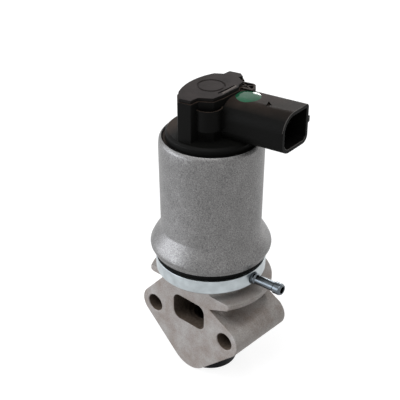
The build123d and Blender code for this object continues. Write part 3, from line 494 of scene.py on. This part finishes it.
def settle_normals(obj, sharp):
    """Smooth shading that keeps flat faces flat beside their rounded edges."""
    only(obj)
    bpy.ops.object.shade_smooth_by_angle(angle=radians(sharp))
    weighted = obj.modifiers.new("flat_faces", "WEIGHTED_NORMAL")
    weighted.keep_sharp = True
    weighted.weight = 100
    bpy.ops.object.modifier_apply(modifier="flat_faces")


def merged_copy(node, name, flatten=False):
    """A copy of a node's mesh, its triangles joined; flatten makes each flat area one face."""
    copy = bpy.data.objects.new(name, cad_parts[node].data.copy())
    scene.collection.objects.link(copy)
    only(copy)
    bpy.ops.object.mode_set(mode="EDIT")
    bpy.ops.mesh.select_all(action="SELECT")
    bpy.ops.mesh.remove_doubles(threshold=merge_distance)
    if flatten:
        bpy.ops.mesh.dissolve_limited(angle_limit=flat_angle)
    bpy.ops.object.mode_set(mode="OBJECT")
    return copy


def softened(node, width, sharp=35):
    """A merged copy of a node's mesh, its edges sharper than sharp degrees rounded to width."""
    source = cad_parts[node]
    copy = merged_copy(node, node + "_dressed", flatten=True)
    rounding = copy.modifiers.new("edge_radius", "BEVEL")
    rounding.width = width
    rounding.segments = 2
    rounding.limit_method = "ANGLE"
    rounding.angle_limit = radians(sharp)
    rounding.use_clamp_overlap = False
    rounding.miter_outer = "MITER_ARC"
    bpy.ops.object.modifier_apply(modifier="edge_radius")
    skin = BVHTree.FromPolygons([v.co for v in source.data.vertices],
                                [face.vertices[:] for face in source.data.polygons])
    low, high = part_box(node)
    strays = 0
    for vertex in copy.data.vertices:
        spot, _, _, distance = skin.find_nearest(vertex.co)
        if distance > stray_share * width:
            vertex.co = spot
            strays += 1
        vertex.co = [min(max(v, a), b) for v, a, b in zip(vertex.co, low, high)]
    settle_normals(copy, sharp)
    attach(copy, "housing")
    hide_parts(node)
    print(copy.name, "faces:", len(copy.data.polygons), "strays pulled back:", strays)
    return copy


# %% Softened pieces
cast_block = softened("valve_body", 0.3 * mm, sharp=60)
softened("bottom_plug", 0.3 * mm)
softened("base_plate", 0.2 * mm)
softened("isolator_gasket", 0.3 * mm)
moulded_housing = softened("sensor_housing", 0.25 * mm)
moulded_lid = softened("sensor_lid", 0.25 * mm)
softened("vent_nipple", 0.15 * mm)

# %% [markdown]
# ## The can
# The can is drawn from sheet aluminium on a lathe-shaped punch, so it is round all over: a foot
# that bulges over the ring, a waist, and a side that opens a little towards the rolled rim. It is
# modelled the same way: half of its section is extruded point by point, the corners are rounded,
# and the section is spun round the valve's axis. That gives clean bands of faces for the light.

# %% The can's section, spun
can_axis = Vector((0.0, 16.0, 0.0)) * mm
can_low, can_high = (corner.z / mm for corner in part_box("solenoid_cover"))
can_foot = [(27.7, 0), (27.75, 1.2), (28.3, 1.6), (28.75, 2.3), (28.88, 3.1), (28.7, 4.0),
            (28.2, 5.1), (27.7, 6.1), (27.2, 7.0), (26.6, 8.0), (25.8, 9.2), (24.9, 10.5),
            (24.1, 11.8), (23.8, 12.7)]
can_rim = [(24.32, can_high - 3.6), (23.85, can_high - 0.9), (22.9, can_high)]
can_outside = [(radius, can_low + rise) for radius, rise in can_foot] + can_rim
can_inside = [(22.65, can_high - 0.3), (22.05, can_low + 12.3), (26.6, can_low + 4.8),
              (26.4, can_low)]
can_section = [can_axis + Vector((radius, 0, height)) * mm
               for radius, height in can_outside + can_inside]
# Which points of the section are rounded, and how far each rounding reaches
can_corners = {0: 0.2, 14: 2.0, 15: 1.3, 16: 0.6, 18: 0.9, 19: 3.3}
can_steps = 144


def select_nearest(obj, points):
    """In edit mode, selects the vertices of obj nearest to these points, and no others."""
    bpy.ops.mesh.select_mode(type="VERT")
    bpy.ops.mesh.select_all(action="DESELECT")
    bpy.ops.object.mode_set(mode="OBJECT")
    for point in points:
        min(obj.data.vertices, key=lambda v: (v.co - point).length).select = True
    bpy.ops.object.mode_set(mode="EDIT")


bpy.ops.object.select_all(action="DESELECT")
bpy.ops.mesh.primitive_plane_add(size=mm, location=can_section[0])
can = bpy.context.object
can.name = "aluminium_can"
bpy.ops.object.transform_apply(location=True, rotation=True, scale=True)
bpy.ops.object.mode_set(mode="EDIT")
bpy.ops.mesh.select_all(action="SELECT")
bpy.ops.mesh.merge(type="CENTER")
for start, end in zip(can_section, can_section[1:]):
    bpy.ops.mesh.extrude_region_move(TRANSFORM_OT_translate={"value": end - start})
select_nearest(can, [can_section[0], can_section[-1]])
bpy.ops.mesh.edge_face_add()
for corner, reach in can_corners.items():
    select_nearest(can, [can_section[corner]])
    bpy.ops.mesh.bevel(offset=reach * mm, segments=8, affect="VERTICES", clamp_overlap=False)
bpy.ops.mesh.select_all(action="SELECT")
bpy.ops.mesh.spin(steps=can_steps, angle=radians(360), center=can_axis, axis=(0, 0, 1))
bpy.ops.mesh.select_all(action="SELECT")
bpy.ops.mesh.remove_doubles(threshold=merge_distance)
bpy.ops.mesh.normals_make_consistent(inside=False)
bpy.ops.object.mode_set(mode="OBJECT")
bpy.ops.object.shade_smooth_by_angle(angle=radians(40))
can.data.materials.append(blasted_metal)
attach(can, "housing")
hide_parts("solenoid_cover")
print("can faces:", len(can.data.polygons))

# %% [markdown]
# ## Return spring
# The return spring stands on the block and is pressed shorter as the valve opens. A merged copy of
# its coil, with a mesh of its own, stands for the rigid one.

# %% Copy of the spring
coil = merged_copy("return_spring", "return_spring_coil")
bpy.ops.object.shade_smooth_by_angle(angle=radians(60))
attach(coil, "housing")
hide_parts("return_spring")
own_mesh(coil)

# %% [markdown]
# ## Soot and painted shade
# The soot and its painted shade go on the faces inside the ports, the chambers and the two bolt
# holes. They are found by their place: a box round the passages and a circle round each bolt.

# %% Soot and painted shade inside the block
passage_half_width = 10.7 * mm
passage_low, passage_high = -19.8 * mm, 13.7 * mm
bolt_x, bolt_reach = 23.0 * mm, 4.7 * mm
face_skip = 0.45 * mm
block_back = 36.2 * mm   # the pipe face of the block

cast_block.data.materials.append(sooty_shaded_cast)
sooty_shaded_count = 0
for face in cast_block.data.polygons:
    spot = face.center
    deep = face_skip < spot.y < block_back - face_skip
    in_passage = abs(spot.x) < passage_half_width and passage_low < spot.z < passage_high
    in_bolt_hole = hypot(abs(spot.x) - bolt_x, spot.z) < bolt_reach
    if deep and (in_passage or in_bolt_hole):
        face.material_index = 1
        sooty_shaded_count += 1
print("sooty faces:", sooty_shaded_count)

# %% [markdown]
# ## Moulded details
# The moulding has small recesses that break up its flat tops: a pocket with crossed ribs on the
# web beside the lid, and a snap window on top of the socket. Each is cut with a small solid
# shaped for it, as the steel core of the mould would leave it. Places along and across the
# socket are measured from the valve's axis.

# %% Helpers for cutting
socket_degrees = 12      # how far the socket turns from the line of the bolt holes
mouth_degrees = 8        # how far its mouth turns back
clear_height = 0.2       # metres, well above the part
socket_turn = radians(socket_degrees)
along_socket = Vector((cos(socket_turn), sin(socket_turn), 0))
across_socket = Vector((-sin(socket_turn), cos(socket_turn), 0))


def on_socket(along, across, height):
    """A point from millimetres along and across the socket, and a height in metres."""
    return can_axis + (along_socket * along + across_socket * across) * mm + Vector((0, 0, height))


def in_plan(outline):
    """Points in millimetres, seen from above, as vectors in metres."""
    return [Vector((x, y, 0)) * mm for x, y in outline]


def top_height(obj, point):
    """How high obj stands on the upright line through a point."""
    _, spot, _, _ = obj.ray_cast(Vector((point.x, point.y, clear_height)), (0, 0, -1))
    return spot.z


def prism(name, outline, bottom, top):
    """An upright solid with this outline of points, from bottom to top."""
    bpy.ops.object.select_all(action="DESELECT")
    bpy.ops.mesh.primitive_circle_add(vertices=len(outline), radius=mm, fill_type="NGON")
    obj = bpy.context.object
    obj.name = name
    for vertex, point in zip(obj.data.vertices, outline):
        vertex.co = (point.x, point.y, bottom)
    bpy.ops.object.mode_set(mode="EDIT")
    bpy.ops.mesh.select_all(action="SELECT")
    bpy.ops.mesh.extrude_region_move(TRANSFORM_OT_translate={"value": (0, 0, top - bottom)})
    bpy.ops.mesh.select_all(action="SELECT")
    bpy.ops.mesh.normals_make_consistent(inside=False)
    bpy.ops.object.mode_set(mode="OBJECT")
    return obj


def cut(target, cutter):
    """Takes the cutter's shape out of the target, then deletes the cutter."""
    only(target)
    taken = target.modifiers.new("cut", "BOOLEAN")
    taken.operation = "DIFFERENCE"
    taken.object = cutter
    bpy.ops.object.modifier_apply(modifier="cut")
    bpy.data.objects.remove(cutter)


# %% Pocket with crossed ribs on the web
web_top = top_height(moulded_housing, on_socket(13.0, 13.5, 0))
pocket_outline = [(7.2, 10.4), (7.2, 14.6), (12.2, 14.9), (13.0, 14.3), (14.3, 11.8), (14.3, 10.4)]
pocket_depth = 1.6 * mm
cut(moulded_housing, prism("pocket", [on_socket(u, v, 0) for u, v in pocket_outline],
                           web_top - pocket_depth, web_top + mm))
rib_half = 0.35
rib_root = 0.1 * mm
rib_drop = 0.25 * mm
rib_spots = (((7.0, 10.2), (13.4, 14.6)), ((7.0, 14.8), (14.3, 10.2)))
for number, ((u0, v0), (u1, v1)) in enumerate(rib_spots):
    length = hypot(u1 - u0, v1 - v0)
    du, dv = (v1 - v0) / length * rib_half, -(u1 - u0) / length * rib_half
    rib = prism(f"web_rib_{number}",
                [on_socket(u0 + du, v0 + dv, 0), on_socket(u1 + du, v1 + dv, 0),
                 on_socket(u1 - du, v1 - dv, 0), on_socket(u0 - du, v0 - dv, 0)],
                web_top - pocket_depth - rib_root, web_top - rib_drop)
    rib.data.materials.append(black_nylon)
    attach(rib, "housing")
print("web top in mm:", round(web_top / mm, 2))

# %% Snap window on the socket
window_outline = [(24.3, 25.6), (27.8, 23.5), (26.2, 21.2)]
window_depth = 0.9 * mm
socket_top = top_height(moulded_housing, Vector((25.75, 23.33, 0)) * mm)
cut(moulded_housing, prism("window", in_plan(window_outline),
                           socket_top - window_depth, socket_top + mm))
print("socket top in mm:", round(socket_top / mm, 2))

# %% [markdown]
# A flat strip closes the side of the lid that faces the socket. It is a strip of its own, let into
# the lid with a hair of a gap round it, and lighter than the lid, with the painted top sheen on it
# too.

# %% Strip in the lid
lid_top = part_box("sensor_lid")[1].z
strip_outline = [(6.2, 25.4), (7.9, 23.6), (8.3, 14.0), (7.0, 14.0)]
strip_depth = 0.5 * mm
cut(moulded_lid, prism("strip_seat", in_plan(strip_outline), lid_top - strip_depth, lid_top + mm))
strip_gap = 0.12
strip_core = [(6.2 + strip_gap, 25.4 - 2 * strip_gap), (7.9 - strip_gap, 23.6 - strip_gap),
              (8.3 - strip_gap, 14.0 + strip_gap), (7.0 + strip_gap, 14.0 + strip_gap)]
strip = prism("lid_strip", in_plan(strip_core), lid_top - strip_depth, lid_top)
# The strip is lighter than the lid, and its last colour is its painted top sheen.
strip_nylon = moulded("light_strip_nylon", "#3a3330", 0.5, 0.5 * mm, 0.3, 0.15, "#5a504b")
strip.data.materials.append(strip_nylon)
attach(strip, "housing")
print("strip in the lid, thick in mm:", strip_depth / mm)

# %% [markdown]
# The plug's latch snaps over a small catch on the far side of the mouth. A thin painted highlight,
# in a paler nylon, is laid on the upper rim of the mouth.

# %% Catch at the mouth
mouth_turn = radians(socket_degrees - mouth_degrees)
mouth_out = Vector((cos(mouth_turn), sin(mouth_turn), 0))
mouth_far_edge = on_socket(41.4, 12.2, 0)
catch_middle = 109.3 * mm
catch_half = 1.4 * mm
catch_outline = [(38.0, 12.0), (41.3, 12.0), (41.2, 14.1), (39.0, 14.1)]
catch = prism("mouth_catch", [on_socket(u, v, 0) for u, v in catch_outline],
              catch_middle - catch_half, catch_middle + catch_half)
rounding = catch.modifiers.new("edge_radius", "BEVEL")
rounding.width = 0.25 * mm
rounding.segments = 2
only(catch)
bpy.ops.object.modifier_apply(modifier="edge_radius")
catch.data.materials.append(black_nylon)
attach(catch, "housing")
print("catch height in mm:", 2 * catch_half / mm)

# %% Painted highlight on the mouth's rim
rim_reach = 0.3 * mm
least_turned, most_turned = 0.2, 0.97    # how much a rounded face looks out of the mouth
least_upward = 0.1

settle_normals(moulded_housing, 35)
settle_normals(moulded_lid, 35)
moulded_housing.data.materials.append(rim_highlight_nylon)
# Faces on the upper rim take the paler nylon: a painted highlight.
rim_highlight = 0
for face in moulded_housing.data.polygons:
    from_mouth = (face.center - mouth_far_edge).dot(mouth_out)
    rounded = least_turned < face.normal.dot(mouth_out) < most_turned
    if abs(from_mouth) < rim_reach and rounded and face.normal.z > least_upward:
        face.material_index = 1
        rim_highlight += 1
print("scuffed faces:", rim_highlight)

# %% [markdown]
# ## Dab of paint
# An inspector's dab of green paint lies on the neck of the plug socket. It is a drop of enamel:
# round, a little domed, glossy, and it follows the curve of the moulding under it. It starts as
# a disc with rings, is projected down onto the housing but no higher than the neck, domed by
# lifting its rings, and given a thickness.

# %% Paint enamel
enamel_cloud = 3.5 * mm

enamel, tree, place = new_material("green_enamel_paint")
cloud = add_node(tree, "ShaderNodeTexNoise", {"Scale": 1 / enamel_cloud, "Detail": 3.0},
                 {"Vector": place})
tone = add_node(tree, "ShaderNodeMix",
                {"data_type": "RGBA", 6: colour("#155238"), 7: colour("#2f7453")},
                {0: cloud.outputs["Fac"]})
ripple = add_node(tree, "ShaderNodeBump", {"Strength": 0.5, "Distance": 0.25 * mm},
                  {"Height": cloud.outputs["Fac"]})
finish_material(tree, {"Roughness": 0.12, "Specular IOR Level": 0.3},
                {"Base Color": tone.outputs[2], "Normal": ripple.outputs["Normal"]})

# %% The dab
dab_centre = Vector((14.5, 23.6, 125.0)) * mm
dab_radius = 6.0 * mm
dab_rings = 6
dab_height = 0.55 * mm
dab_sink = 0.1 * mm
dab_wall = 0.6 * mm

bpy.ops.object.select_all(action="DESELECT")
bpy.ops.mesh.primitive_circle_add(vertices=64, radius=dab_radius, fill_type="NGON",
                                  location=dab_centre)
dab = bpy.context.object
dab.name = "paint_dab"
bpy.ops.object.transform_apply(location=True, rotation=True, scale=True)
bpy.ops.object.mode_set(mode="EDIT")
bpy.ops.mesh.select_all(action="SELECT")
for _ in range(dab_rings):
    bpy.ops.mesh.inset(thickness=dab_radius / (dab_rings + 1))
bpy.ops.object.mode_set(mode="OBJECT")
hug = dab.modifiers.new("lie_on_housing", "SHRINKWRAP")
hug.target = moulded_housing
hug.wrap_method = "PROJECT"
hug.use_project_z = True
hug.use_negative_direction = True
hug.use_positive_direction = False
bpy.ops.object.modifier_apply(modifier="lie_on_housing")
neck_top = top_height(moulded_housing, dab_centre + Vector((dab_radius, 0, 0)))
for vertex in dab.data.vertices:
    vertex.co.z = min(vertex.co.z, neck_top)
    out = hypot(vertex.co.x - dab_centre.x, vertex.co.y - dab_centre.y) / dab_radius
    vertex.co.z += dab_height * (1 - out ** 4) - dab_sink
wall = dab.modifiers.new("thickness", "SOLIDIFY")
wall.thickness = dab_wall
wall.offset = -1
bpy.ops.object.modifier_apply(modifier="thickness")
bpy.ops.object.shade_smooth_by_angle(angle=radians(50))
dab.data.materials.append(enamel)
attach(dab, "housing")
print("dab z in mm:", round(min(v.co.z for v in dab.data.vertices) / mm, 2),
      round(max(v.co.z for v in dab.data.vertices) / mm, 2))
